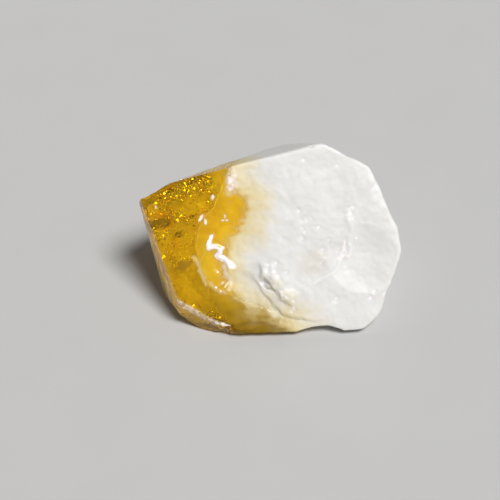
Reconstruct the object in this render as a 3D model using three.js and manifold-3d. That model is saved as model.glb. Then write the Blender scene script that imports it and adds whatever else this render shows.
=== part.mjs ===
// A citrine crystal point: a broken-off quartz termination with a clear amber tip and a milky white root.
//
// It grew as one crystal, so it is one solid. Three rhombohedral faces meet at the apex, and every other
// face is a break. The solid is a blank cut by flat facets and hollowed by shell-shaped fracture dishes.
// Units are millimetres, +Z is up, and the crystal lies on a flat break with its apex to the left (-X).

import * as THREE from "three";
import { mergeVertices } from "three/addons/utils/BufferGeometryUtils.js";
import Module from "manifold-3d";

const wasm = await Module();
wasm.setup();

// Height of the crystal's heart above the flat break that it rests on. Facets are measured from the heart.
const HEART_HEIGHT = 15;

// The uncut lump, larger than the crystal on every side.
const BLANK_SIZE = [90, 80, 70];

// Size of the block that saws off everything beyond a facet.
const SAW_SIZE = 160;

// Segments round the ball that hollows a fracture dish.
const BALL_SEGMENTS = 150;

// Every facet: the direction that it faces, as azimuth and elevation in degrees (0 is +X, 90 is +Y, and
// elevation 90 is straight up), and its distance from the heart in millimetres.
const FACETS = {
  // The three natural faces, which meet at the apex.
  frontRhomb: [-86, 40.2, 11.9],
  leftRhomb: [-154, -4, 30.2],
  topRhomb: [118, 59, 18.1],

  // Small breaks round the apex and along the crest.
  apexChip: [122.5, 32, 17.2],
  crestBack: [110, 20.5, 14],
  crest: [89, 31, 17.7],
  leftChip: [171, -15.5, 27],

  // The broken root, going down its right side.
  rootShoulder: [59, 33, 20.9],
  rootUpper: [23, 19, 27.3],
  rootSide: [24.5, 12.5, 26.2],
  rootWaist: [10.5, 4.5, 29.7],
  rootLower: [-5, -21.8, 30.4],
  rootHeel: [-21, -49.5, 29.4],

  // The worn corner at the lower left, and the undercut below the front.
  wornCorner: [-148.5, -4, 30.8],
  wornRidge: [-111, -8.5, 29.1],
  undercutCorner: [-147, -45, 29.4],
  undercutFront: [-91, -58, 24.9],
  undercutRoot: [-82.5, -60, 24.9],

  // The back, which slopes in towards the ground.
  backLeft: [124.5, -13, 22.4],
  backRight: [49.5, 13, 22.8],
  backLow: [97.5, -40.5, 19.6],

  // The flat break that the crystal rests on.
  rest: [0, -90, HEART_HEIGHT],
};

// Fracture dishes: the facet that each one hollows, a point near its middle measured from the heart, the
// radius of its rim and its depth.
const DISHES = [
  { facet: "frontRhomb", near: [-5, -10.6, 6.2], rim: 13.5, depth: 0.8 },
  { facet: "frontRhomb", near: [-8, -23, -8.6], rim: 10.5, depth: 1 },
  { facet: "frontRhomb", near: [-13.3, -16.5, -0.2], rim: 4.2, depth: 0.8 },
  { facet: "frontRhomb", near: [22.5, -13.5, 0.6], rim: 8.5, depth: 0.7 },
  { facet: "topRhomb", near: [3, -1, 19.5], rim: 9, depth: 0.6 },
  { facet: "undercutRoot", near: [12, -24.5, -13.5], rim: 6, depth: 1.6 },
  { facet: "rootSide", near: [28, -2, 6], rim: 8, depth: 0.9 },
  { facet: "rootShoulder", near: [17, 8, 14], rim: 8, depth: 1 },
  { facet: "crestBack", near: [-4, 12, -1], rim: 12, depth: 1.6 },
  { facet: "leftChip", near: [-26.5, 2, -7], rim: 8, depth: 0.9 },
  { facet: "backRight", near: [20, 15, -5.5], rim: 8.5, depth: 1.2 },
];

function facing(azimuthDegrees, elevationDegrees) {
  const azimuth = THREE.MathUtils.degToRad(azimuthDegrees);
  const elevation = THREE.MathUtils.degToRad(elevationDegrees);
  const level = Math.cos(elevation);
  return new THREE.Vector3(level * Math.cos(azimuth), level * Math.sin(azimuth), Math.sin(elevation));
}

function solidFrom(geometry) {
  const bare = geometry.index ? geometry.clone() : geometry.toNonIndexed();
  bare.deleteAttribute("normal");
  bare.deleteAttribute("uv");
  const merged = mergeVertices(bare);
  return new wasm.Manifold(
    new wasm.Mesh({
      numProp: 3,
      vertProperties: new Float32Array(merged.attributes.position.array),
      triVerts: new Uint32Array(merged.index.array),
    }),
  );
}

function geometryFrom(solid) {
  const { vertProperties, triVerts } = solid.getMesh();
  const geometry = new THREE.BufferGeometry();
  geometry.setAttribute("position", new THREE.BufferAttribute(vertProperties, 3));
  geometry.setIndex(new THREE.BufferAttribute(triVerts, 1));
  return geometry;
}

// Everything that lies beyond a facet, as a solid block.
function beyondFacet([azimuth, elevation, distance]) {
  const saw = new THREE.BoxGeometry(SAW_SIZE, SAW_SIZE, SAW_SIZE);
  saw.translate(0, 0, SAW_SIZE / 2 + distance);
  const upwards = new THREE.Vector3(0, 0, 1);
  const turn = new THREE.Quaternion().setFromUnitVectors(upwards, facing(azimuth, elevation));
  return solidFrom(saw.applyQuaternion(turn));
}

// The ball whose surface makes a dish of the given rim radius and depth in a facet.
function dishBall({ facet, near, rim, depth }) {
  const [azimuth, elevation, distance] = FACETS[facet];
  const outward = facing(azimuth, elevation);
  const radius = (rim * rim + depth * depth) / (2 * depth);
  const centre = new THREE.Vector3(...near);
  centre.addScaledVector(outward, distance - outward.dot(centre) + radius - depth);
  const ball = new THREE.SphereGeometry(radius, BALL_SEGMENTS, BALL_SEGMENTS / 2);
  return solidFrom(ball.translate(centre.x, centre.y, centre.z));
}

function crystalGeometry() {
  let crystal = solidFrom(new THREE.BoxGeometry(...BLANK_SIZE));
  for (const facet of Object.values(FACETS)) {
    crystal = crystal.subtract(beyondFacet(facet));
  }
  for (const dish of DISHES) {
    crystal = crystal.subtract(dishBall(dish));
  }
  return geometryFrom(crystal);
}

// Puts the middle of the underside of the bounding box at the origin.
function standAtOrigin(geometry) {
  geometry.computeBoundingBox();
  const { min, max } = geometry.boundingBox;
  return geometry.translate(-(min.x + max.x) / 2, -(min.y + max.y) / 2, -min.z);
}

const citrine = new THREE.MeshStandardMaterial({ color: 0xd9a520, roughness: 0.15, metalness: 0 });

const crystalPoint = new THREE.Mesh(standAtOrigin(crystalGeometry()), citrine);
crystalPoint.name = "citrine_point";

const group = new THREE.Group();
group.add(crystalPoint);

export default group;
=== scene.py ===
"""A citrine crystal point: a clear golden tip that clouds into a milky, broken root.

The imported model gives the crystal's flat faces. A finer skin is sculpted on them as a distance field
and contoured into a mesh. Sculpting lengths are millimetres from the crystal's heart, the point that
its faces are measured from; meshes, lights and the camera are in metres.
"""
import math

import bpy
import numpy as np
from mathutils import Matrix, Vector

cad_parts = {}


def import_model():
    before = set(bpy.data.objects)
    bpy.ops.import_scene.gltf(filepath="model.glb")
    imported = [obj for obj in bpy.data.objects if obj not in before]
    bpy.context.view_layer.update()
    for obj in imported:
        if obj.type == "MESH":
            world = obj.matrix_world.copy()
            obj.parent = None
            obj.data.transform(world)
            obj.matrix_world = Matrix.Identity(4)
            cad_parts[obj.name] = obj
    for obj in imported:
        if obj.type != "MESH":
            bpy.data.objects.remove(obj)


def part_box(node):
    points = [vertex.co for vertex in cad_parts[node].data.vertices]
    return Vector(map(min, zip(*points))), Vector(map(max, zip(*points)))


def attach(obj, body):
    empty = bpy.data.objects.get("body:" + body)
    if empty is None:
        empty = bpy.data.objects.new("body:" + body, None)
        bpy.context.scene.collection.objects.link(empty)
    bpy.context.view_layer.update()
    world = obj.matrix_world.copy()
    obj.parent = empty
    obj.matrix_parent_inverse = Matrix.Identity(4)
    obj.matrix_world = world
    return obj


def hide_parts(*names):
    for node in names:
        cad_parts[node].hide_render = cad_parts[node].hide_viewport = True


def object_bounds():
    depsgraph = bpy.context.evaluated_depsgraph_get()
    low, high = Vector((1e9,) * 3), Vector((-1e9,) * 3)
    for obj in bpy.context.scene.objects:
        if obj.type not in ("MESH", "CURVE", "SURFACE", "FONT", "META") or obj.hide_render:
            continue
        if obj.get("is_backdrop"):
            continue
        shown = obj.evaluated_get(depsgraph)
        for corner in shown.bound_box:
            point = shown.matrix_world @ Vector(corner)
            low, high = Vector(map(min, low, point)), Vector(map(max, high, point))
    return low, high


NODE = "citrine_point"
BODY = "root"
MM = 0.001

# The heart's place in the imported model's box, as shares of its length, depth and height.
HEART_SHARE = (0.4986, 0.5399, 0.4004)

# What counts as a flat face of the model: its least area in square millimetres, how far its triangles may
# lean and lie off its plane, and the area below which a triangle is skipped.
FACET_AREA = 8.0
FACET_ANGLE = math.radians(0.4)
FACET_STEP = 0.03
SLIVER_AREA = 0.05

# Contouring: the grid pitch of the skin and of the cloud inside it, and the space round the crystal.
SKIN_PITCH = 0.37
CLOUD_PITCH = 0.6
GRID_MARGIN = 1.0
# How far below and above the model's faces the carved skin can lie. The cloud can lie at any depth.
CARVING_REACH = 3.4
SWELL_REACH = 2.5
WHOLE_CRYSTAL = 100.0
# Half the step that a slope is measured over, and the value of a grid corner that is flipped to outside.
NUDGE = 0.04
FLIPPED = 0.001
CREASE_ANGLE = math.radians(32)

# Edges are worn rounder on the root than at the tip.
EDGE_ROUND_TIP = 0.07
EDGE_ROUND_ROOT = 0.3

# Breaks: small dishes for each square millimetre, their rim radius, their depth as a share of it, and
# how many chips the sharp edges have.
BREAK_SEED = 7
BREAK_DISHES = 0.05
BREAK_DISH_RIMS = (1.5, 4.5)
BREAK_DISH_SHARES = (0.05, 0.10)
EDGE_CHIPS = 90

# The cloud keeps this far below the skin. Its veil lies at a depth under the front face and is this thick.
CLOUD_INSET = 0.7
VEIL_DEPTH = 7.0
VEIL_THICKNESS = 0.7

PLATELET_SEED = 11
# Half a platelet's thickness, as a share of its size.
PLATELET_THICKNESS = 0.12
# The way that most platelets face, so that the lamp flashes off them.
GLINT = np.array([0.13, -0.65, 0.75])

# The whitening mask also carries painted highlights and glints, and the darkening mask carries painted shade
# as well as a stain.
SKIN_ATTRIBUTES = ("milk", "frost_and_highlight", "root", "haze", "shade_and_stain")

# Colours. Where there are two, the surface is mottled between them.
WHITE = ((0.63, 0.62, 0.60), (0.73, 0.725, 0.71))
CREAM = ((0.66, 0.52, 0.20), (0.72, 0.64, 0.42))
AMBER = ((0.94, 0.53, 0.012), (1.0, 0.74, 0.03))
# Darker colours mixed in for painted shade low on the front and along the left face's edge, for a brown stain
# and for an olive patch.
WHITE_SHADE_AND_STAIN = (0.62, 0.58, 0.51)
CREAM_SHADE_AND_STAIN = (0.54, 0.46, 0.23)
AMBER_SHADE_AND_STAIN = (0.42, 0.25, 0.02)
# Lilac-white of the frosted spots, also painted on as highlights and glints.
FROST_AND_HIGHLIGHT = (0.95, 0.89, 0.92)
DEEP_AMBER = (0.999, 0.975, 0.02, 1.0)
CLOUD = ((0.95, 0.92, 0.80), (0.98, 0.97, 0.94))
EMBER = (1.0, 0.76, 0.42)
GLITTER = ((1.0, 0.88, 0.5), (1.0, 0.97, 0.85))
PALE_HAZE = ((0.97, 0.90, 0.70), (0.98, 0.96, 0.92))
FLOOR = ((0.50, 0.497, 0.49), (0.53, 0.527, 0.52))
STUDIO_AIR = (1.0, 0.99, 0.97, 1.0)
QUARTZ_IOR = 1.544
QUARTZ_ABSORPTION = 300.0

# The studio: the brightness of its walls and ceiling, the lamp's direction and spread in degrees and its
# strength, and half the floor's width in metres.
WALLS = 0.5
CEILING = 0.11
LAMP_AZIMUTH = -52.0
LAMP_ELEVATION = 60.0
LAMP_SPREAD = 20.0
LAMP_STRENGTH = 3.4
FLOOR_REACH = 6.0

# The camera: the spot that it looks at and its distance from it in metres, its elevation in degrees, and
# its lens in millimetres.
CAMERA_AIM = (-0.0052, -0.0081, 0.0152)
CAMERA_DISTANCE = 0.350
CAMERA_ELEVATION = 42.0
CAMERA_LENS = 102.5


# ---- small mathematics

def direction(azimuth, elevation):
    """The unit vector at an azimuth and an elevation in degrees. Azimuth 0 is +X and 90 is +Y."""
    turn = math.radians(azimuth)
    lift = math.radians(elevation)
    return np.array([math.cos(lift) * math.cos(turn), math.cos(lift) * math.sin(turn), math.sin(lift)])


def ramp(start, end, value):
    """0 before start, 1 after end, and an eased rise between them."""
    share = np.clip((value - start) / (end - start), 0.0, 1.0)
    return share * share * (3.0 - 2.0 * share)


def hash_lattice(ix, iy, iz, seed):
    """A repeatable number from -1 to 1 for each whole-number point."""
    key = (ix * 374761393 + iy * 668265263 + iz * 1440662683 + seed * 974634777) & 0xFFFFFFFF
    key = ((key ^ (key >> 13)) * 1274126177) & 0xFFFFFFFF
    key = ((key ^ (key >> 15)) * 2246822519) & 0xFFFFFFFF
    return ((key >> 8) & 0xFFFF) / 32767.5 - 1.0


def noise(points, size, seed):
    """Smooth noise from about -1 to 1, whose lumps are about `size` across."""
    scaled = points / size + 1000.5
    cell = np.floor(scaled).astype(np.int64)
    part = scaled - cell
    part = part ** 3 * (part * (part * 6.0 - 15.0) + 10.0)
    total = 0.0
    for dx in (0, 1):
        for dy in (0, 1):
            for dz in (0, 1):
                weight = ((part[:, 0] if dx else 1.0 - part[:, 0])
                          * (part[:, 1] if dy else 1.0 - part[:, 1])
                          * (part[:, 2] if dz else 1.0 - part[:, 2]))
                total = total + weight * hash_lattice(cell[:, 0] + dx, cell[:, 1] + dy, cell[:, 2] + dz, seed)
    return total


def layered_noise(points, size, layers, seed):
    """Noise in several layers, each half as large and half as strong as the one before."""
    total = 0.0
    for layer in range(layers):
        total = total + 0.5 ** layer * noise(points, size * 0.5 ** layer, seed + 17 * layer)
    return total


def line_distance(s, t, corners):
    """The distance to a chain of straight lines, how far along it (0 to 1), and the side, 1 on its left."""
    best = np.full(len(s), 1e9)
    along = np.zeros(len(s))
    side = np.zeros(len(s))
    spans = [math.dist(a, b) for a, b in zip(corners, corners[1:])]
    walked = 0.0
    for (a, b), span in zip(zip(corners, corners[1:]), spans):
        way_s = (b[0] - a[0]) / span
        way_t = (b[1] - a[1]) / span
        run = np.clip((s - a[0]) * way_s + (t - a[1]) * way_t, 0.0, span)
        gap_s = s - a[0] - run * way_s
        gap_t = t - a[1] - run * way_t
        gap = np.hypot(gap_s, gap_t)
        nearer = gap < best
        best = np.where(nearer, gap, best)
        along = np.where(nearer, (walked + run) / sum(spans), along)
        side = np.where(nearer, np.sign(way_s * gap_t - way_t * gap_s), side)
        walked += span
    return best, along, side


# ---- the model's flat faces

class Facet:
    """One flat face: its outward normal, its distance from the heart, and directions across and up it."""

    def __init__(self, normal, distance, area, spots):
        self.normal = normal
        self.distance = distance
        self.area = area
        self.spots = spots
        self.across = np.array([-normal[1], normal[0], 0.0])
        if np.linalg.norm(self.across) < 1e-6:
            self.across = np.array([1.0, 0.0, 0.0])
        self.across /= np.linalg.norm(self.across)
        self.up = np.cross(normal, self.across)
        self.dishes = []

    def coordinates(self, points):
        """Places on the face, measured from the foot of the heart."""
        return points @ self.across, points @ self.up

    def height(self, points):
        return points @ self.normal - self.distance


def read_facets(mesh, corners, heart):
    """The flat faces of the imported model, the largest first: planes that the whole solid lies behind."""
    normals = np.array([polygon.normal for polygon in mesh.polygons])
    centres = np.array([polygon.center for polygon in mesh.polygons]) / MM - heart
    areas = np.array([polygon.area for polygon in mesh.polygons]) / MM ** 2
    distances = (normals * centres).sum(1)
    free = np.ones(len(areas), bool)
    facets = []
    for seed in np.argsort(-areas):
        if not free[seed] or areas[seed] < SLIVER_AREA:
            continue
        flat = free & (normals @ normals[seed] > math.cos(FACET_ANGLE))
        flat &= np.abs(centres @ normals[seed] - distances[seed]) < FACET_STEP
        free[flat] = False
        behind = (corners @ normals[seed]).max() < distances[seed] + FACET_STEP
        if behind and areas[flat].sum() > FACET_AREA:
            facets.append(Facet(normals[seed].copy(), distances[seed], areas[flat].sum(), centres[flat]))
    return sorted(facets, key=lambda facet: -facet.area)


def facing(facets, azimuth, elevation):
    """The face that looks most nearly along a direction."""
    aim = direction(azimuth, elevation)
    return max(facets, key=lambda facet: facet.normal @ aim)


# ---- carving

def dish_depth(distance_squared, rim, depth):
    """How deep a ball's dish cuts below a flat face."""
    radius = (rim * rim + depth * depth) / (2.0 * depth)
    inside = np.maximum(radius * radius - distance_squared, 0.0)
    return np.maximum(np.sqrt(inside) - (radius - depth), 0.0)


def dishes_relief(points, facet):
    """How deep the ball-shaped fracture dishes cut a face at each point."""
    relief = np.zeros(len(points))
    s, t = facet.coordinates(points)
    for centre_s, centre_t, rim, depth in facet.dishes:
        close = (np.abs(s - centre_s) < rim) & (np.abs(t - centre_t) < rim)
        gap = (s[close] - centre_s) ** 2 + (t[close] - centre_t) ** 2
        relief[close] = np.maximum(relief[close], dish_depth(gap, rim, depth))
    return relief


def shell_ripples(points, facet):
    """Faint curved ripples that spread over a break from where each of its large dishes was struck."""
    relief = np.zeros(len(points))
    s, t = facet.coordinates(points)
    for number, (centre_s, centre_t, rim, _) in enumerate(facet.dishes):
        if rim < 3.0:
            continue
        struck_s = centre_s + rim * math.cos(2.4 * number)
        struck_t = centre_t + rim * math.sin(2.4 * number)
        gap = np.hypot(s - struck_s, t - struck_t) + 0.5 * noise(points, 3.0, 63)
        inside = ramp(1.0, 0.6, np.hypot(s - centre_s, t - centre_t) / rim)
        relief += 0.05 * inside * np.sin(7.0 * np.sqrt(gap.clip(0.0))) * ramp(1.6 * rim, 0.3 * rim, gap)
    return relief


def add_dish(facets, near, rim, depth):
    """Puts a fracture dish on the face that lies closest to a point."""
    spot = np.array(near)
    facet = min(facets, key=lambda each: abs(each.height(spot)))
    facet.dishes.append((spot @ facet.across, spot @ facet.up, rim, depth))


def scatter_dishes(facet, random):
    """Small conchoidal dishes scattered over a broken face."""
    for _ in range(int(facet.area * BREAK_DISHES)):
        spot = facet.spots[random.integers(len(facet.spots))]
        rim = random.uniform(*BREAK_DISH_RIMS)
        depth = rim * random.uniform(*BREAK_DISH_SHARES)
        facet.dishes.append((spot @ facet.across, spot @ facet.up, rim, depth))


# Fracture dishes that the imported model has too: a spot near the dish, its rim radius and its depth.
DISHES = [
    ((12, -24.5, -13.5), 6, 1.6),
    ((28, -2, 6), 8, 0.9),
    ((17, 8, 14), 8, 1.0),
    ((-4, 12, -1), 12, 1.6),
    ((-26.5, 2, -7), 8, 0.9),
    ((20, 15, -5.5), 8.5, 1.2),
    ((-8, -23, -8.6), 10.5, 1.0),
    ((22.5, -13.5, 0.6), 8.5, 0.7),
]


# ---- the front face's own marks

# Places on the front face are (across, up) in millimetres from the foot of the heart.
MILK_BORDER = [
    (-9.4, 18.0), (-8.6, 12.0), (-6.6, 9.2), (-5.6, 7.5), (-5.7, 2.0), (-7.8, -2.3), (-10.3, -5.6),
    (-11.2, -9.0), (-10.4, -12.4), (-8.6, -15.6), (-5.2, -18.6), (-1.0, -22.0), (6.0, -27.0),
]
SCAR_EDGE = [
    (-9.9, 14.6), (-14.9, 4.9), (-16.9, 2.4), (-18.9, -1.0), (-19.4, -4.4), (-18.7, -8.6), (-17.2, -12.8),
    (-14.9, -15.6), (-11.6, -16.9),
]
POCKET_CENTRE = (-14.9, -10.4)
POCKET_SIZE = (3.3, 5.0)
POCKET_TURN = math.radians(14)
HUMP_BRINK = [(-5.0, -8.6), (-3.4, -13.4), (-1.2, -15.8), (0.6, -18.2), (2.4, -19.8), (5.2, -21.6)]
LEDGE = [(-7.8, -11.0), (-4.4, -15.3), (-1.5, -19.4), (0.6, -21.8), (5.8, -23.5), (12.0, -24.9)]
CREST_LINE = [(17.2, -5.2), (16.2, -8.6), (15.5, -10.3), (13.6, -12.6), (9.5, -14.9), (6.5, -17.0)]
RIB_LINE = [(19.3, 3.4), (18.9, -3.5), (18.6, -9.8)]
ZIGZAG = [
    (-15.1, -2.4), (-16.1, -4.1), (-15.9, -5.2), (-14.6, -4.8), (-12.9, -5.5), (-13.9, -7.1), (-12.2, -8.1),
    (-10.3, -9.8),
]
# The lower edge's scuff: pale wear, and partly a painted highlight.
SCUFF_AND_HIGHLIGHT_LINE = [
    (-24.4, -17.3), (-22.3, -19.2), (-19.7, -21.0), (-17.0, -22.4), (-14.6, -23.5), (-11.9, -24.1),
]
STIPPLE_CENTRE = (-9.9, 10.6)
OLIVE_PATCH_CENTRE = (-22.4, -8.6)
BROWN_CENTRE = (9.4, -9.7)
# Stretches of the pocket's broken rim, painted pale as a highlight.
POCKET_RIM_HIGHLIGHTS = [
    [(-19.5, -7.2), (-18.8, -9.0), (-18.0, -11.4), (-17.1, -13.6)],
    [(-15.9, -13.8), (-14.6, -15.4), (-12.7, -16.2)],
    [(-12.4, -9.6), (-11.8, -11.7), (-10.9, -13.6)],
]
# Painted glints, small pale spots: middle, half its width and height, and lean in degrees.
PAINTED_GLINTS = [
    ((-11.7, 2.6), 0.26, 0.5, 10),
    ((-12.4, 1.5), 0.38, 0.26, 0),
    ((-11.3, 1.5), 0.36, 0.28, 0),
    ((-17.6, 2.3), 0.36, 1.25, -33),
    ((-16.5, 1.4), 0.34, 0.75, 0),
    ((-14.5, 7.2), 0.36, 0.7, -15),
    ((-28.3, 5.4), 0.26, 0.36, 0),
]
# Clusters of little popped flakes, each with a painted glint in its middle: centre, how many, and how far
# they spread.
GLINTS = [
    ((8.2, 15.1), 2, 0.3),
    ((8.1, 0.6), 4, 0.9),
    ((7.0, -2.4), 3, 0.7),
    ((19.0, 1.6), 7, 0.8),
    ((16.4, -8.2), 9, 0.8),
    ((-1.6, -12.2), 10, 1.5),
    ((2.6, -16.6), 8, 1.5),
    ((4.0, -20.6), 4, 0.5),
    ((14.7, -18.4), 2, 0.3),
    ((0.5, -8.8), 2, 0.4),
    ((25.4, 7.6), 12, 1.1),
    ((25.0, -18.0), 5, 1.6),
    ((8.0, -4.0), 12, 9.0),
]


def scar_relief(s, t, points):
    """The big shell-shaped flake scar beside the clear tip, crisp on the left and fading to the right."""
    gap, along, side = line_distance(s, t, SCAR_EDGE)
    inside = gap * side + 0.3 * noise(points, 2.6, 11) + 0.12 * noise(points, 1.0, 12)
    rim = 0.4 * ramp(0.0, 0.5, inside)
    bowl = 0.5 * ramp(0.0, 5.5, inside)
    ripples = 0.035 * np.sin(inside * 2.1 + noise(points, 3.0, 13)) * ramp(0.5, 2.0, inside)
    ripples += 0.04 * noise(points, 1.7, 14) + 0.02 * noise(points, 0.8, 15)
    fade = (1.0 - ramp(-13.0, 3.0, s)) * (1.0 - ramp(0.88, 1.0, along) * ramp(3.0, 0.5, gap))
    return (rim + bowl + ripples) * fade * (inside > 0)


def pocket_shares(s, t, points):
    """Distance from the middle of the small deep pocket, 1 at its rim."""
    gap_s = s - POCKET_CENTRE[0]
    gap_t = t - POCKET_CENTRE[1]
    turned_s = gap_s * math.cos(POCKET_TURN) + gap_t * math.sin(POCKET_TURN)
    turned_t = gap_t * math.cos(POCKET_TURN) - gap_s * math.sin(POCKET_TURN)
    share = np.hypot(turned_s / POCKET_SIZE[0], turned_t / POCKET_SIZE[1])
    return share + 0.07 * noise(points, 2.0, 21)


def pocket_relief(s, t, points):
    """A small deep pocket left by a popped flake, with a broken, raised lip."""
    share = pocket_shares(s, t, points)
    bowl = 0.5 * np.clip(1.0 - share ** 2, 0.0, 1.0) ** 0.5
    lip = -0.14 * np.exp(-((share - 1.08) / 0.12) ** 2) * (1.0 + 0.9 * noise(points, 2.2, 22))
    return bowl + lip


def step_relief(s, t, points, corners, seed):
    """A ragged step along a line, 1 deep on its lower left, and how far each point is above its brink."""
    gap, along, side = line_distance(s, t, corners)
    signed = gap * side + 0.6 * noise(points, 2.3, seed) + 0.28 * noise(points, 0.9, seed + 1)
    ends = ramp(0.0, 0.2, along) * (1.0 - ramp(0.75, 1.0, along))
    below = ramp(0.8, -0.3, signed) * np.exp(-np.clip(-signed, 0.0, None) / 5.5)
    return ends * below, ends, signed, along


def ledge_relief(s, t, points):
    """Two steps along the lower root. The upper one has a heaved, lumpy brink and a crevice under it."""
    upper, ends, signed, along = step_relief(s, t, points, HUMP_BRINK, 31)
    heave = -0.38 * ends * np.exp(-((signed - 2.0) / 1.7) ** 2) * (1.0 + 0.9 * noise(points, 1.7, 33))
    crevice = 0.6 * np.exp(-((signed + 0.05) / 0.4) ** 2) * np.exp(-((along - 0.42) / 0.1) ** 2)
    lower, _, _, _ = step_relief(s, t, points, LEDGE, 34)
    return 0.75 * upper + heave + crevice + 0.55 * lower


def ridge_relief(s, t, corners, height, width):
    """A thin ridge left standing along a line."""
    gap, along, _ = line_distance(s, t, corners)
    ends = ramp(0.0, 0.2, along) * (1.0 - ramp(0.8, 1.0, along))
    return -height * ends * np.exp(-(gap / width) ** 2)


def wander(s, t, points, reach, seed):
    """Face coordinates shifted by noise, which makes a straight mark run ragged."""
    return s + reach * noise(points, 2.4, seed), t + reach * noise(points, 1.9, seed + 1)


def crest_relief(s, t, points):
    """The sharp crest on the root, with a shallow hollow on its left and a fall on its right."""
    jag = 0.35 * noise(points, 1.8, 36) + 0.18 * noise(points, 0.8, 37)
    gap, along, side = line_distance(s + jag, t + jag, CREST_LINE)
    ends = ramp(0.0, 0.12, along) * (1.0 - ramp(0.6, 1.0, along))
    slope = 1.0 - np.exp(-gap / 0.7)
    left = (side < 0) * np.exp(-gap / 3.8)
    right = (side >= 0) * np.exp(-gap / 1.8)
    return ends * slope * (0.5 * left + 0.34 * right)


def front_relief(points, facet):
    """Everything carved into the front face, as depth below its plane."""
    s, t = facet.coordinates(points)
    root = ramp(-9.0, 0.0, s)
    relief = 0.38 * ramp(-14.0, -5.0, s)
    relief += scar_relief(s, t, points)
    relief += pocket_relief(s, t, points)
    relief += ledge_relief(s, t, points)
    relief += ridge_relief(s, t, ZIGZAG, 0.4, 0.42)
    rib = ridge_relief(*wander(s, t, points, 0.7, 38), RIB_LINE, 0.17, 0.9)
    relief += rib * (1.0 + 0.8 * noise(points, 1.6, 40))
    relief += crest_relief(s, t, points)
    swells = 0.15 * noise(points, 6.5, 41) + 0.08 * noise(points, 2.6, 42) + 0.03 * noise(points, 1.2, 44)
    relief += root * swells
    relief += ramp(-14.0, -9.0, s) * 0.03 * noise(points, 1.1, 43)
    return np.maximum(relief, 0.0) + dishes_relief(points, facet)


def grown_relief(points, facet):
    """Faint growth steps on the other natural faces, along their length."""
    s, t = facet.coordinates(points)
    lines = np.stack([s * 0.05, t, np.zeros(len(s))], 1)
    return 0.02 + 0.018 * noise(lines, 1.5, 51)


def crest_swell(points):
    """How far the crest stands proud of the model's flat break behind it."""
    return 2.0 * np.exp(-((points[:, 0] - 1.0) / 6.5) ** 2) * ramp(2.0, 13.0, points[:, 2])


def broken_relief(points, facet):
    """A conchoidal break: overlapping dishes, faint ripples and fine hackle, and the crest's swell."""
    relief = dishes_relief(points, facet) + shell_ripples(points, facet)
    relief += np.maximum(0.06 + 0.15 * layered_noise(points, 5.0, 3, 61), 0.0)
    relief += 0.035 * noise(points, 0.9, 62)
    return relief - crest_swell(points)


def resting_relief(points):
    """The underside is nearly flat, with shallow pits that never reach below it."""
    return 0.25 * np.maximum(layered_noise(points, 4.0, 3, 71), 0.0)


# ---- the crystal's field

class Crystal:
    """The crystal as a distance field, with its colour zones."""

    def __init__(self, facets):
        self.facets = facets
        self.front = facing(facets, -86, 40)
        self.left = facing(facets, -154, -4)
        self.top = facing(facets, 118, 59)
        self.rest = facing(facets, 0, -90)
        grown = (self.front, self.left, self.top, self.rest)
        self.broken = [facet for facet in facets if all(facet is not each for each in grown)]
        self.chips = []
        self.glint_specks = []

    def plain(self, points):
        """The uncarved solid: negative inside."""
        return np.max([facet.height(points) for facet in self.facets], axis=0)

    def carved(self, points):
        """The finished skin: negative inside."""
        layers = []
        for facet in self.facets:
            height = facet.height(points)
            close = height > -CARVING_REACH
            spots = points[close]
            height[close] += self.relief(spots, facet)
            layers.append(height)
        layers = np.array(layers)
        top = layers.max(0)
        rounding = EDGE_ROUND_TIP + (EDGE_ROUND_ROOT - EDGE_ROUND_TIP) * ramp(-16.0, 6.0, points[:, 0])
        field = top + rounding * np.log(np.exp((layers - top) / rounding).sum(0))
        for centre, radius in self.chips:
            close = np.abs(points - centre).max(1) < radius + 1.0
            gap = np.linalg.norm(points[close] - centre, axis=1)
            field[close] = np.maximum(field[close], radius - gap)
        return field

    def relief(self, points, facet):
        if facet is self.front:
            return front_relief(points, facet)
        if facet is self.left or facet is self.top:
            return grown_relief(points, facet) + dishes_relief(points, facet)
        if facet is self.rest:
            return resting_relief(points)
        return broken_relief(points, facet)

    def root_distance(self, points):
        """Millimetres past the border where the amber clouds into white, positive in the root.

        The white reaches furthest towards the tip in the middle of the crystal, as a dome."""
        s, t = self.front.coordinates(points)
        depth = np.clip(-self.plain(points), 0.0, 12.0)
        gap, _, side = line_distance(s, t, MILK_BORDER)
        return gap * side + 1.5 * depth


def scatter_glints(crystal, random):
    """Little popped flakes on the front of the root, most of them in clusters, with painted glints in their
    middles.
    """
    for (centre_s, centre_t), amount, spread in GLINTS:
        for _ in range(amount):
            s, t = random.normal((centre_s, centre_t), spread)
            rim = random.uniform(0.5, 1.2)
            crystal.front.dishes.append((s, t, rim, rim * random.uniform(0.05, 0.11)))
            crystal.glint_specks.append((s, t, rim * random.uniform(0.2, 0.5)))


def sharp_edges(mesh, corners):
    """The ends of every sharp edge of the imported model, and the way that each faces."""
    spots, same = np.unique(np.round(corners, 2), axis=0, return_inverse=True)
    same = same.reshape(-1)
    sides = {}
    for polygon in mesh.polygons:
        ring = [same[vertex] for vertex in polygon.vertices]
        for a, b in zip(ring, ring[1:] + ring[:1]):
            sides.setdefault((min(a, b), max(a, b)), []).append(np.array(polygon.normal))
    edges = []
    for (a, b), pair in sorted(sides.items()):
        if a != b and len(pair) == 2 and pair[0] @ pair[1] < 0.9:
            edges.append((spots[a], spots[b], pair[0] + pair[1]))
    return edges


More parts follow.
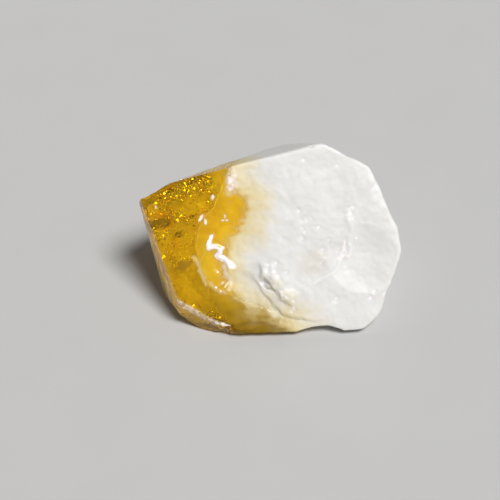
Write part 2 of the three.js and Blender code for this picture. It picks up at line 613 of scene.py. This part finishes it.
def chip_edges(crystal, edges, random):
    """Small bites out of the sharp edges, smaller at the tip."""
    lengths = np.array([np.linalg.norm(end - start) for start, end, _ in edges])
    for _ in range(EDGE_CHIPS):
        start, end, outward = edges[random.choice(len(edges), p=lengths / lengths.sum())]
        spot = start + (end - start) * random.uniform()
        outward = outward / np.linalg.norm(outward) + 0.35 * random.normal(size=3)
        outward /= np.linalg.norm(outward)
        size = 0.5 if spot[0] < -15 else 1.0
        radius = random.uniform(0.9, 3.2) * size
        bite = radius * random.uniform(0.08, 0.22)
        heights = sorted(facet.height(spot) for facet in crystal.facets)
        if heights[-2] > -0.3:
            crystal.chips.append((spot + outward * (radius - bite), radius))


# ---- contouring

def part_checkerboards(value):
    """Flips grid corners until no grid face has inside and outside corners crosswise.

    Such a face would pinch the mesh into an edge that four faces share."""
    clean = False
    while not clean:
        clean = True
        for first, second in ((0, 1), (1, 2), (0, 2)):
            near, far = [slice(None)] * 3, [slice(None)] * 3
            near[first] = near[second] = slice(0, -1)
            far[first] = far[second] = slice(1, None)
            step, side = near.copy(), near.copy()
            step[first] = slice(1, None)
            side[second] = slice(1, None)
            inside = value < 0
            start, stepped = inside[tuple(near)], inside[tuple(step)]
            crossed = (start == inside[tuple(far)]) & (stepped == inside[tuple(side)]) & (start != stepped)
            if crossed.any():
                clean = False
                value[tuple(near)][crossed & start] = FLIPPED
                value[tuple(step)][crossed & stepped] = FLIPPED


def contour(field, guide, reach, low, high, pitch):
    """Dual contouring: the closed mesh where the field is zero, with its sharp edges kept.

    Returns its corners and its four-cornered faces. The field is worked out only where the quick
    `guide` field lies from `reach` below zero to SWELL_REACH above it."""
    axes = [np.arange(low[axis], high[axis] + pitch, pitch) for axis in range(3)]
    shape = tuple(len(each) for each in axes)
    grid = np.stack(np.meshgrid(*axes, indexing="ij"), -1).reshape(-1, 3)
    value = guide(grid)
    near = (value > -reach) & (value < SWELL_REACH)
    value[near] = field(grid[near])
    value = value.reshape(shape)
    part_checkerboards(value)
    grid = grid.reshape(shape + (3,))
    rows, places, tilts, turns = [], [], [], []
    for axis in range(3):
        a = np.take(value, range(shape[axis] - 1), axis)
        b = np.take(value, range(1, shape[axis]), axis)
        index = np.argwhere((a < 0) != (b < 0))
        start = grid[tuple(index.T)]
        first = a[tuple(index.T)]
        last = b[tuple(index.T)]
        step = np.zeros(3)
        step[axis] = pitch
        share_low = np.zeros(len(index))
        share_high = np.ones(len(index))
        for _ in range(3):
            share = share_low + (share_high - share_low) * np.clip(first / (first - last), 0.05, 0.95)
            middle = field(start + share[:, None] * step)
            same = (middle < 0) == (first < 0)
            share_low = np.where(same, share, share_low)
            first = np.where(same, middle, first)
            share_high = np.where(same, share_high, share)
            last = np.where(same, last, middle)
        share = share_low + (share_high - share_low) * first / (first - last)
        rows.append(index)
        places.append(start + share[:, None] * step)
        turns.append(a[tuple(index.T)] < 0)
    for spots in places:
        slope = np.stack([field(spots + NUDGE * unit) - field(spots - NUDGE * unit) for unit in np.eye(3)], 1)
        tilts.append(slope / np.linalg.norm(slope, axis=1, keepdims=True))
    return join_cells(rows, places, tilts, turns, shape, grid, pitch)


def join_cells(rows, places, tilts, turns, shape, grid, pitch):
    """Puts one corner in every grid cell that the surface crosses, and one face round every crossed edge."""
    quads, keys, spots, leans = [], [], [], []
    for axis in range(3):
        other, third = (axis + 1) % 3, (axis + 2) % 3
        ring = []
        for back_other, back_third in ((1, 1), (0, 1), (0, 0), (1, 0)):
            cell = rows[axis].copy()
            cell[:, other] -= back_other
            cell[:, third] -= back_third
            ring.append(np.ravel_multi_index(cell.T, shape))
        ring = np.stack(ring, 1)
        quads.append(np.where(turns[axis][:, None], ring, ring[:, ::-1]))
        keys.append(ring.reshape(-1))
        spots.append(np.repeat(places[axis], 4, axis=0))
        leans.append(np.repeat(tilts[axis], 4, axis=0))
    quads, keys = np.concatenate(quads), np.concatenate(keys)
    spots, leans = np.concatenate(spots), np.concatenate(leans)
    cells, member = np.unique(keys, return_inverse=True)
    total = len(cells)
    count = np.bincount(member, minlength=total)
    middle = np.stack([np.bincount(member, spots[:, axis], total) / count for axis in range(3)], 1)
    pull = np.empty((total, 3, 3))
    for i in range(3):
        for j in range(3):
            pull[:, i, j] = np.bincount(member, leans[:, i] * leans[:, j], total)
    miss = (leans * (spots - middle[member])).sum(1)
    aim = np.stack([np.bincount(member, leans[:, axis] * miss, total) for axis in range(3)], 1)
    strengths, ways = np.linalg.eigh(pull)
    kept = strengths > 0.06 * strengths[:, 2:3]
    inverse = np.where(kept, 1.0 / np.maximum(strengths, 1e-9), 0.0)
    local = np.einsum("nij,ni->nj", ways, aim) * inverse
    shift = np.einsum("nij,nj->ni", ways, local)
    corner = grid.reshape(-1, 3)[cells]
    found = np.clip(middle + shift, corner + 0.02 * pitch, corner + 0.98 * pitch)
    return found, np.searchsorted(cells, quads)


def mesh_piece(name, corners, faces, heart):
    """A Blender object from sculpting corners, with smooth shading and sharp creases."""
    mesh = bpy.data.meshes.new(name)
    mesh.from_pydata(((corners + heart) * MM).tolist(), [], faces.tolist())
    mesh.validate()
    mesh.shade_smooth()
    mesh.set_sharp_from_angle(angle=CREASE_ANGLE)
    piece = bpy.data.objects.new(name, mesh)
    bpy.context.scene.collection.objects.link(piece)
    return piece


def add_attribute(piece, name, values):
    """A number for each corner of a mesh, which its material reads."""
    layer = piece.data.attributes.new(name, "FLOAT", "POINT")
    layer.data.foreach_set("value", np.asarray(values, np.float32))


# ---- colour zones on the skin

# Painted highlight: a lilac-white line along the zigzag ridge.
def zigzag_highlight(s, t, points, fine, coarse):
    gap, along, _ = line_distance(s + 0.15 * fine, t + 0.2 * noise(points, 0.9, 86), ZIGZAG)
    return ramp(1.5, 0.7, gap / (0.5 + 0.2 * coarse + 0.14 * along))


def scuff_and_highlight(s, t, fine, speckle):
    """The long scuff along the lower edge of the tip, widest in its middle: pale wear with a painted
    highlight on it.
    """
    gap, along, _ = line_distance(s, t, SCUFF_AND_HIGHLIGHT_LINE)
    width = 0.8 * np.sin(np.clip(along * 0.8 + 0.16, 0, 1) * math.pi) + 0.1
    return ramp(1.5, 0.4, gap / width + 0.4 * fine) * (0.45 + 0.55 * speckle)


def stipple_frost(s, t, fine, coarse, speckle):
    """The pitted patch at the top of the scar."""
    across = (s - STIPPLE_CENTRE[0] - 0.1 * (t - STIPPLE_CENTRE[1])) / 1.7
    stipple = np.hypot(across, (t - STIPPLE_CENTRE[1]) / 3.4)
    return ramp(1.3, 0.4, stipple + 0.3 * fine + 0.3 * coarse) * (0.35 + 0.65 * speckle)


# Painted highlight along one stretch of the pocket's rim.
def pocket_rim_highlight(s, t, corners, fine, coarse):
    gap, _, _ = line_distance(s, t, corners)
    return 0.42 * ramp(1.6, 0.4, gap / 0.5 + 0.5 * fine + 0.4 * coarse)


# A painted glint: a small pale spot.
def painted_glint_frost(s, t, glint_spot, fine):
    (centre_s, centre_t), half_width, half_height, lean = glint_spot
    turn = math.radians(lean)
    over = (s - centre_s) * math.cos(turn) + (t - centre_t) * math.sin(turn)
    along = (t - centre_t) * math.cos(turn) - (s - centre_s) * math.sin(turn)
    return 0.9 * ramp(1.5, 0.6, np.hypot(over / half_width, along / half_height) + 0.3 * fine)


def root_line_highlight(s, t, points, fine, speckle):
    """Painted highlights along the crest and rib on the root."""
    gap, along, _ = line_distance(*wander(s, t, points, 0.4, 38), CREST_LINE[:5])
    crest = 0.6 * ramp(1.5, 0.4, gap / 0.3 + 0.4 * fine) * (1.0 - 0.6 * along)
    gap, _, _ = line_distance(*wander(s, t, points, 0.7, 38), RIB_LINE)
    rib = 0.5 * ramp(1.5, 0.3, gap / 0.4) * ramp(0.5, 0.8, speckle)
    return np.maximum(crest, rib)


def front_frost_and_highlights(crystal, points, s, t):
    """How whitened the front face is: a frosted patch and a worn scuff, with painted highlights and glints on
    the scuff, zigzag, pocket rims, crest, rib and popped flakes.
    """
    fine = noise(points, 0.7, 84)
    coarse = noise(points, 1.1, 85)
    speckle = 0.5 + 0.5 * noise(points, 0.8, 83)
    layers = [
        zigzag_highlight(s, t, points, fine, coarse),
        scuff_and_highlight(s, t, fine, speckle),
        stipple_frost(s, t, fine, coarse, speckle),
        root_line_highlight(s, t, points, fine, speckle),
    ]
    layers += [pocket_rim_highlight(s, t, corners, fine, coarse) for corners in POCKET_RIM_HIGHLIGHTS]
    layers += [painted_glint_frost(s, t, glint_spot, fine) for glint_spot in PAINTED_GLINTS]
    frost_and_highlight = np.max(layers, axis=0)
    # Painted glints in the middles of the popped flakes.
    for centre_s, centre_t, radius in crystal.glint_specks:
        close = np.hypot(s - centre_s, t - centre_t)
        frost_and_highlight = np.maximum(frost_and_highlight, 0.6 * ramp(1.3, 0.4, close / radius + 0.5 * fine))
    return frost_and_highlight


def left_face_shares(crystal, points, on_front):
    """How far each corner lies on the matt part of the left face, and on the clear edge beside the front."""
    on_left = (1.0 - on_front) * ramp(-2.6, -1.6, crystal.left.height(points))
    edge = on_left * ramp(-4.4, -3.2, crystal.front.height(points))
    return on_left - edge, edge


def upright_streaks(points):
    """Noise drawn out along the vertical."""
    return noise(points * np.array([1.2, 1.2, 0.25]), 1.0, 89)


def skin_haze(crystal, points, s, t, on_front, near_root, streaks):
    """How cloudy the clear tip's surface is: most in the scar, near the root and beside the front face."""
    gap, _, side = line_distance(s, t, SCAR_EDGE)
    scar = on_front * ramp(-0.15, 0.45, gap * side + 0.3 * noise(points, 2.6, 11)) * ramp(-18.5, -15.5, t)
    haze = 0.11 + 0.06 * noise(points, 1.8, 88) + 0.10 * ramp(-27.0, -31.0, s)
    haze += 0.22 * near_root + 0.20 * scar
    beside = (1.0 - on_front) * ramp(-13.0, -5.0, crystal.front.height(points))
    return haze + (1.0 - on_front) * 0.02 + beside * (0.14 + 0.08 * streaks)


def skin_zones(crystal, points):
    """How milky and frosted the skin is at each corner, with its painted highlights, how far into the root,
    how hazy, and how much painted shade and stain it has.
    """
    s, t = crystal.front.coordinates(points)
    on_front = ramp(-2.6, -1.6, crystal.front.height(points))
    past = crystal.root_distance(points)
    fibres = np.stack([s * 0.4 + t * 0.12, t * 1.3, points[:, 2] * 0.5], 1)
    ragged = 1.1 * noise(points, 3.2, 81) + 0.6 * noise(points, 1.3, 82) + 0.9 * noise(fibres, 1.1, 87)
    low = ramp(-13.5, -22.0, t) * ramp(9.0, -1.0, s)
    milk = ramp(-2.2 - 3.0 * low, 2.2 + 2.2 * low, past + ragged)
    root = ramp(0.0, 9.0, past + ragged)

    streaks = upright_streaks(points)
    matt, edge = left_face_shares(crystal, points, on_front)
    # Painted glints: pale specks along the matt part of the left face.
    left_face_glints = 0.6 * ramp(0.35, 0.75, streaks + 0.4 * noise(points, 0.7, 90))
    frost_and_highlight = np.maximum(on_front * front_frost_and_highlights(crystal, points, s, t), matt * left_face_glints)

    # A darker olive patch in the tip, which also makes the surface there hazier.
    olive_patch_gap = np.hypot((s - OLIVE_PATCH_CENTRE[0]) / 1.6, t - OLIVE_PATCH_CENTRE[1])
    olive_patch = ramp(2.6, 0.2, olive_patch_gap + 0.9 * ragged)
    brown = ramp(5.5, 1.0, np.hypot(s - BROWN_CENTRE[0], t - BROWN_CENTRE[1]) + 0.8 * ragged)
    # Painted shade: darker towards the bottom of the front (low) and a painted dark line along the left
    # face's edge beside the front (edge). The brown patch is a real stain, and the olive patch is only a
    # darker olive patch.
    shade_and_stain = np.max([0.6 * low, olive_patch, 0.6 * brown, 0.6 * edge], axis=0)

    near_root = ramp(-9.0, -2.0, past + 0.6 * ragged)
    haze = skin_haze(crystal, points, s, t, on_front, near_root, streaks)
    haze += matt * (0.26 + 0.18 * streaks) - 0.1 * edge
    haze = np.clip(np.maximum(haze, 0.35 * olive_patch), 0.04, 0.55)
    return milk, frost_and_highlight, root, haze, shade_and_stain


# ---- materials

class Nodes:
    """Shorthand for building one material."""

    def __init__(self, name):
        self.material = bpy.data.materials.new(name)
        self.material.use_nodes = True
        self.tree = self.material.node_tree
        self.tree.nodes.clear()
        self.output = self.tree.nodes.new("ShaderNodeOutputMaterial")
        self.shader = self.tree.nodes.new("ShaderNodeBsdfPrincipled")
        self.link(self.shader.outputs["BSDF"], self.output.inputs["Surface"])
        self.place = self.tree.nodes.new("ShaderNodeTexCoord").outputs["Object"]

    def link(self, start, end):
        self.tree.links.new(start, end)

    def attribute(self, name):
        node = self.tree.nodes.new("ShaderNodeAttribute")
        node.attribute_name = name
        return node.outputs["Fac"]

    def noise(self, size, detail=2.0, roughness=0.5, distortion=0.0):
        """Noise from 0 to 1 whose lumps are about `size` metres across."""
        node = self.tree.nodes.new("ShaderNodeTexNoise")
        node.inputs["Scale"].default_value = 1.0 / size
        node.inputs["Detail"].default_value = detail
        node.inputs["Roughness"].default_value = roughness
        node.inputs["Distortion"].default_value = distortion
        self.link(self.place, node.inputs["Vector"])
        return node.outputs["Fac"]

    def blend(self, share, start, end):
        """A colour between two colours, each a plain colour or a link."""
        node = self.tree.nodes.new("ShaderNodeMix")
        node.data_type = "RGBA"
        factor, first, second = (node.inputs[place] for place in (0, 6, 7))
        self.feed(share, factor)
        self.feed(start, first)
        self.feed(end, second)
        return node.outputs[2]

    def remap(self, value, low, high, start, end):
        """Moves a number from one range to another, kept within it."""
        node = self.tree.nodes.new("ShaderNodeMapRange")
        node.inputs["From Min"].default_value = low
        node.inputs["From Max"].default_value = high
        node.inputs["To Min"].default_value = start
        node.inputs["To Max"].default_value = end
        self.link(value, node.inputs["Value"])
        return node.outputs["Result"]

    def combine(self, operation, first, second):
        """Two numbers, each plain or a link, joined by a Math node."""
        node = self.tree.nodes.new("ShaderNodeMath")
        node.operation = operation
        self.feed(first, node.inputs[0])
        self.feed(second, node.inputs[1])
        return node.outputs["Value"]

    def bump(self, height, strength, distance):
        node = self.tree.nodes.new("ShaderNodeBump")
        node.inputs["Distance"].default_value = distance
        self.feed(strength, node.inputs["Strength"])
        self.link(height, node.inputs["Height"])
        self.link(node.outputs["Normal"], self.shader.inputs["Normal"])

    def feed(self, value, socket):
        if isinstance(value, bpy.types.NodeSocket):
            self.link(value, socket)
        elif isinstance(value, tuple):
            socket.default_value = value + (1.0,)
        else:
            socket.default_value = value

    def set(self, **values):
        """Sets or links the shader's own sockets, named with underscores for spaces."""
        for name, value in values.items():
            self.feed(value, self.shader.inputs[name.replace("_", " ")])


def quartz_colour(quartz, milk, frost_and_highlight):
    """Amber, clouding through cream into white, darkened by painted shade and a brown stain, and pale where
    it is frosted and where highlights are painted.
    """
    root = quartz.attribute("root")
    shade_and_stain = quartz.attribute("shade_and_stain")
    white = quartz.blend(quartz.noise(0.006, 4.0, 0.6), *WHITE)
    white = quartz.blend(shade_and_stain, white, WHITE_SHADE_AND_STAIN)
    cream = quartz.blend(quartz.noise(0.003, 3.0), *CREAM)
    cream = quartz.blend(shade_and_stain, cream, CREAM_SHADE_AND_STAIN)
    stone = quartz.blend(root, cream, white)
    amber = quartz.blend(quartz.noise(0.0035, 4.0, 0.65), *AMBER)
    amber = quartz.blend(shade_and_stain, amber, AMBER_SHADE_AND_STAIN)
    return quartz.blend(frost_and_highlight, quartz.blend(milk, amber, stone), FROST_AND_HIGHLIGHT)


def quartz_roughness(quartz, milk, frost_and_highlight, haze):
    """Glassy where it is clear, waxy where it is milky, and matt where it is frosted."""
    matt = quartz.remap(quartz.noise(0.004, 3.0), 0.3, 0.7, 0.42, 0.6)
    share = quartz.remap(quartz.combine("MAXIMUM", milk, haze), 0.1, 0.45, 0.08, 0.3)
    share = quartz.combine("MAXIMUM", share, milk)
    rough = quartz.combine("MULTIPLY", matt, share)
    return quartz.combine("MAXIMUM", rough, quartz.combine("MULTIPLY", frost_and_highlight, 0.45))


def quartz_material():
    """Clear amber at the tip, milky white at the root, frosted where the skin is worn, and pale where
    highlights and glints are painted on.
    """
    quartz = Nodes("citrine quartz")
    milk = quartz.attribute("milk")
    frost_and_highlight = quartz.attribute("frost_and_highlight")
    haze = quartz.attribute("haze")
    cloudy = quartz.combine("MAXIMUM", milk, quartz.combine("MULTIPLY", frost_and_highlight, 0.92))
    cloudy = quartz.combine("MAXIMUM", cloudy, haze)
    quartz.set(Base_Color=quartz_colour(quartz, milk, frost_and_highlight))
    quartz.set(Roughness=quartz_roughness(quartz, milk, frost_and_highlight, haze), IOR=QUARTZ_IOR)
    quartz.set(Transmission_Weight=quartz.combine("SUBTRACT", 1.0, cloudy))
    quartz.set(Subsurface_Weight=0.6, Subsurface_Scale=0.003)
    quartz.shader.inputs["Subsurface Radius"].default_value = (1.0, 0.85, 0.7)
    grain = quartz.noise(0.0009, 3.0, 0.6)
    quartz.bump(grain, quartz.remap(cloudy, 0.0, 1.0, 0.02, 0.22), 0.0002)
    absorption = quartz.tree.nodes.new("ShaderNodeVolumeAbsorption")
    absorption.inputs["Color"].default_value = DEEP_AMBER
    absorption.inputs["Density"].default_value = QUARTZ_ABSORPTION
    quartz.link(absorption.outputs["Volume"], quartz.output.inputs["Volume"])
    return quartz.material


def cloud_material():
    """The milky growth inside the crystal, seen through the amber."""
    cloud = Nodes("milky cloud")
    puffs = cloud.noise(0.0022, 4.0, 0.6)
    milk = cloud.blend(puffs, *CLOUD)
    ember = cloud.remap(cloud.noise(0.008, 2.0), 0.48, 0.66, 0.0, 1.0)
    cloud.set(Base_Color=cloud.blend(ember, milk, EMBER), Roughness=0.9, IOR=QUARTZ_IOR)
    cloud.set(Specular_IOR_Level=0.0)
    cloud.bump(puffs, 0.4, 0.0005)
    return cloud.material


def floor_material():
    floor = Nodes("pale floor")
    floor.set(Base_Color=floor.blend(floor.noise(0.02, 3.0), *FLOOR), Roughness=0.7)
    return floor.material


# ---- the cloud inside

def cloud_field(crystal):
    """The milky growth past the border, and the golden veil that runs from it through the tip."""
    def field(points):
        s, t = crystal.front.coordinates(points)
        height = crystal.front.height(points)
        lumps = 1.2 * noise(points, 3.4, 91) + 0.6 * noise(points, 1.6, 92) + 0.3 * noise(points, 0.9, 93)
        dome = -(crystal.root_distance(points) + lumps - 0.4)
        sway = VEIL_DEPTH + 1.3 * noise(points, 6.0, 94) + 0.4 * noise(points, 2.0, 95)
        holes = ramp(0.35, 0.85, noise(points, 3.5, 96)) * ramp(-5.0, 0.0, t)
        veil = np.abs(height + sway) - VEIL_THICKNESS * (1.0 - 3.0 * holes)
        return np.maximum(crystal.carved(points) + CLOUD_INSET, np.minimum(dome, veil))
    return field


# ---- sparkling platelets inside the tip

# Sheets of glitter under the front face: how many platelets, the line on the face that they lie along, how
# far they stray across and up it, and their least and greatest depth.
GLITTER_SHEETS = [
    (420, ((-27.5, 8.2), (-14.0, 10.6)), (0.9, 1.2), (0.9, 3.2)),
    (130, ((-26.5, 4.8), (-19.5, 1.0)), (0.7, 0.5), (1.2, 3.2)),
    (40, ((-27.5, 5.0), (-22.0, -10.0)), (1.2, 2.0), (1.0, 6.0)),
    (40, ((-24.0, -8.0), (-18.0, 5.0)), (2.5, 2.5), (2.0, 8.0)),
    (30, ((-25.1, -5.2), (-24.9, -8.4)), (0.25, 0.3), (0.9, 2.0)),
    (12, ((-26.8, -1.4), (-26.6, -2.6)), (0.2, 0.2), (0.9, 2.0)),
]
# Cracks full of glitter along the left and lower edges of the tip: how many platelets, where the crack
# starts and ends, and how far they stray.
GLITTER_CRACKS = [
    (260, (-29.6, -9.2, 12.0), (-26.2, -13.6, -11.0), (0.7, 0.9, 1.0)),
    (200, (-24.0, -20.5, -8.5), (-8.0, -24.0, -12.0), (0.9, 0.8, 1.2)),
]
GLITTER_SIZES = (0.10, 0.42)
GLITTER_SCATTER = 0.28
HAZE_SHEET = (2600, ((-23.0, -14.0), (-19.5, 6.0)), (3.2, 3.2), (2.5, 12.0))
HAZE_SIZES = (0.08, 0.3)
HAZE_SCATTER = 0.8


def sheet_spots(crystal, random, amount, line, spread, depths):
    """Random places under the front face, scattered about a line drawn on it."""
    start, end = (np.array(corner) for corner in line)
    share = random.uniform(size=(amount, 1))
    flat = start + (end - start) * share + random.normal(size=(amount, 2)) * spread
    depth = random.uniform(*depths, size=(amount, 1))
    front = crystal.front
    return flat[:, :1] * front.across + flat[:, 1:] * front.up + (front.distance - depth) * front.normal


def crack_spots(random, amount, start, end, spread):
    """Random places scattered about a straight line through the crystal."""
    share = random.uniform(size=(amount, 1))
    return start + (np.array(end) - start) * share + random.normal(size=(amount, 3)) * spread


def platelets(name, crystal, heart, spots, scatter, sizes, random):
    """One mesh of thin six-sided platelets sealed in the clear tip, each facing roughly one way."""
    clear = (crystal.carved(spots) < -0.6) & (crystal.root_distance(spots) < -1.5)
    corners, faces = [], []
    for spot in spots[clear]:
        normal = GLINT + scatter * random.normal(size=3)
        normal /= np.linalg.norm(normal)
        side = np.cross(normal, random.normal(size=3))
        side /= np.linalg.norm(side)
        other = np.cross(normal, side)
        size = random.uniform(*sizes)
        first = len(corners)
        for corner in range(6):
            turn = corner * math.pi / 3.0
            reach = size * random.uniform(0.6, 1.1)
            corners.append(spot + reach * (math.cos(turn) * side + math.sin(turn) * other))
        corners.append(spot + PLATELET_THICKNESS * size * normal)
        corners.append(spot - PLATELET_THICKNESS * size * normal)
        for corner in range(6):
            following = (corner + 1) % 6
            faces.append((first + corner, first + following, first + 6))
            faces.append((first + following, first + corner, first + 7))
    return mesh_piece(name, np.array(corners), np.array(faces), heart)


def glitter_material():
    """Mirror-bright films in healed cracks."""
    glitter = Nodes("glitter")
    glitter.set(Base_Color=glitter.blend(glitter.noise(0.002), *GLITTER), Metallic=0.9, Roughness=0.22)
    return glitter.material


def haze_material():
    """Pale bubbles and needles that cloud the amber."""
    haze = Nodes("haze")
    haze.set(Base_Color=haze.blend(haze.noise(0.002), *PALE_HAZE), Roughness=0.6, Specular_IOR_Level=0.1)
    return haze.material


def make_inclusions(crystal, heart):
    random = np.random.default_rng(PLATELET_SEED)
    spots = [sheet_spots(crystal, random, *sheet) for sheet in GLITTER_SHEETS]
    spots += [crack_spots(random, *crack) for crack in GLITTER_CRACKS]
    spots = np.concatenate(spots)
    glitter = platelets("glitter_platelets", crystal, heart, spots, GLITTER_SCATTER, GLITTER_SIZES, random)
    glitter.data.materials.append(glitter_material())
    spots = sheet_spots(crystal, random, *HAZE_SHEET)
    haze = platelets("haze_platelets", crystal, heart, spots, HAZE_SCATTER, HAZE_SIZES, random)
    haze.data.materials.append(haze_material())
    for piece in (glitter, haze):
        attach(piece, BODY)


# ---- stage, lights and camera

def make_floor():
    mesh = bpy.data.meshes.new("floor")
    reach = FLOOR_REACH
    corners = [(-reach, -reach, 0), (reach, -reach, 0), (reach, reach, 0), (-reach, reach, 0)]
    mesh.from_pydata(corners, [], [(0, 1, 2, 3)])
    mesh.materials.append(floor_material())
    floor = bpy.data.objects.new("floor", mesh)
    bpy.context.scene.collection.objects.link(floor)
    floor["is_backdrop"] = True


def make_lamp():
    """A wide soft sun: it is so far off that it lights the whole floor alike."""
    light = bpy.data.lights.new("key", "SUN")
    light.angle = math.radians(LAMP_SPREAD)
    light.energy = LAMP_STRENGTH
    lamp = bpy.data.objects.new("key", light)
    towards = Vector(direction(LAMP_AZIMUTH, LAMP_ELEVATION))
    lamp.rotation_euler = towards.to_track_quat("Z", "Y").to_euler()
    bpy.context.scene.collection.objects.link(lamp)


def make_world():
    """Pale walls all round under a darker ceiling, which keeps glare off the front face."""
    world = bpy.data.worlds.new("studio")
    world.use_nodes = True
    tree = world.node_tree
    backdrop = tree.nodes["Background"]
    backdrop.inputs["Color"].default_value = STUDIO_AIR
    place = tree.nodes.new("ShaderNodeTexCoord")
    split = tree.nodes.new("ShaderNodeSeparateXYZ")
    tree.links.new(place.outputs["Generated"], split.inputs["Vector"])
    shade = tree.nodes.new("ShaderNodeMapRange")
    shade.interpolation_type = "SMOOTHSTEP"
    shade.inputs["From Min"].default_value = 0.05
    shade.inputs["From Max"].default_value = 0.5
    shade.inputs["To Min"].default_value = WALLS
    shade.inputs["To Max"].default_value = CEILING
    tree.links.new(split.outputs["Z"], shade.inputs["Value"])
    tree.links.new(shade.outputs["Result"], backdrop.inputs["Strength"])
    bpy.context.scene.world = world


def make_camera():
    lift = math.radians(CAMERA_ELEVATION)
    aim = Vector(CAMERA_AIM)
    place = aim + Vector((0, -math.cos(lift), math.sin(lift))) * CAMERA_DISTANCE
    camera = bpy.data.objects.new("camera", bpy.data.cameras.new("camera"))
    camera.location = place
    camera.rotation_euler = (aim - place).to_track_quat("-Z", "Y").to_euler()
    camera.data.lens = CAMERA_LENS
    camera.data.clip_start = 0.01
    bpy.context.scene.collection.objects.link(camera)
    bpy.context.scene.camera = camera


# ---- making it all

def make_crystal():
    """The crystal's field, the heart's place and the field's lowest and highest corners."""
    low, high = (np.array(corner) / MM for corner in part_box(NODE))
    heart = low + (high - low) * np.array(HEART_SHARE)
    mesh = bpy.data.objects[NODE].data
    corners = np.array([vertex.co for vertex in mesh.vertices]) / MM - heart
    crystal = Crystal(read_facets(mesh, corners, heart))
    for near, rim, depth in DISHES:
        add_dish(crystal.facets, near, rim, depth)
    random = np.random.default_rng(BREAK_SEED)
    for facet in crystal.broken:
        scatter_dishes(facet, random)
    scatter_glints(crystal, random)
    chip_edges(crystal, sharp_edges(mesh, corners), random)
    return crystal, heart, corners.min(0) - GRID_MARGIN, corners.max(0) + GRID_MARGIN


def make_skin(crystal, heart, low, high):
    places, faces = contour(crystal.carved, crystal.plain, CARVING_REACH, low, high, SKIN_PITCH)
    skin = mesh_piece("crystal_skin", places, faces, heart)
    for name, values in zip(SKIN_ATTRIBUTES, skin_zones(crystal, places)):
        add_attribute(skin, name, values)
    skin.data.materials.append(quartz_material())
    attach(skin, BODY)
    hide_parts(NODE)


def make_cloud(crystal, heart, low, high):
    places, faces = contour(cloud_field(crystal), crystal.plain, WHOLE_CRYSTAL, low, high, CLOUD_PITCH)
    cloud = mesh_piece("milky_cloud", places, faces, heart)
    cloud.data.materials.append(cloud_material())
    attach(cloud, BODY)


def light_paths():
    """Deep clear quartz needs long light paths, and its cloud many diffuse bounces."""
    scene = bpy.context.scene
    scene.view_settings.view_transform = "Standard"
    scene.cycles.max_bounces = 40
    scene.cycles.transmission_bounces = 32
    scene.cycles.glossy_bounces = 24
    scene.cycles.diffuse_bounces = 14


def write_sizes(cad_box):
    boxes = {"cad": cad_box, "visual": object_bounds()}
    plain = {name: [[float(value) for value in corner] for corner in box] for name, box in boxes.items()}


def main():
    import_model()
    cad_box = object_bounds()
    crystal, heart, low, high = make_crystal()
    make_skin(crystal, heart, low, high)
    make_cloud(crystal, heart, low, high)
    make_inclusions(crystal, heart)
    make_floor()
    make_world()
    make_lamp()
    make_camera()
    light_paths()
    write_sizes(cad_box)


main()
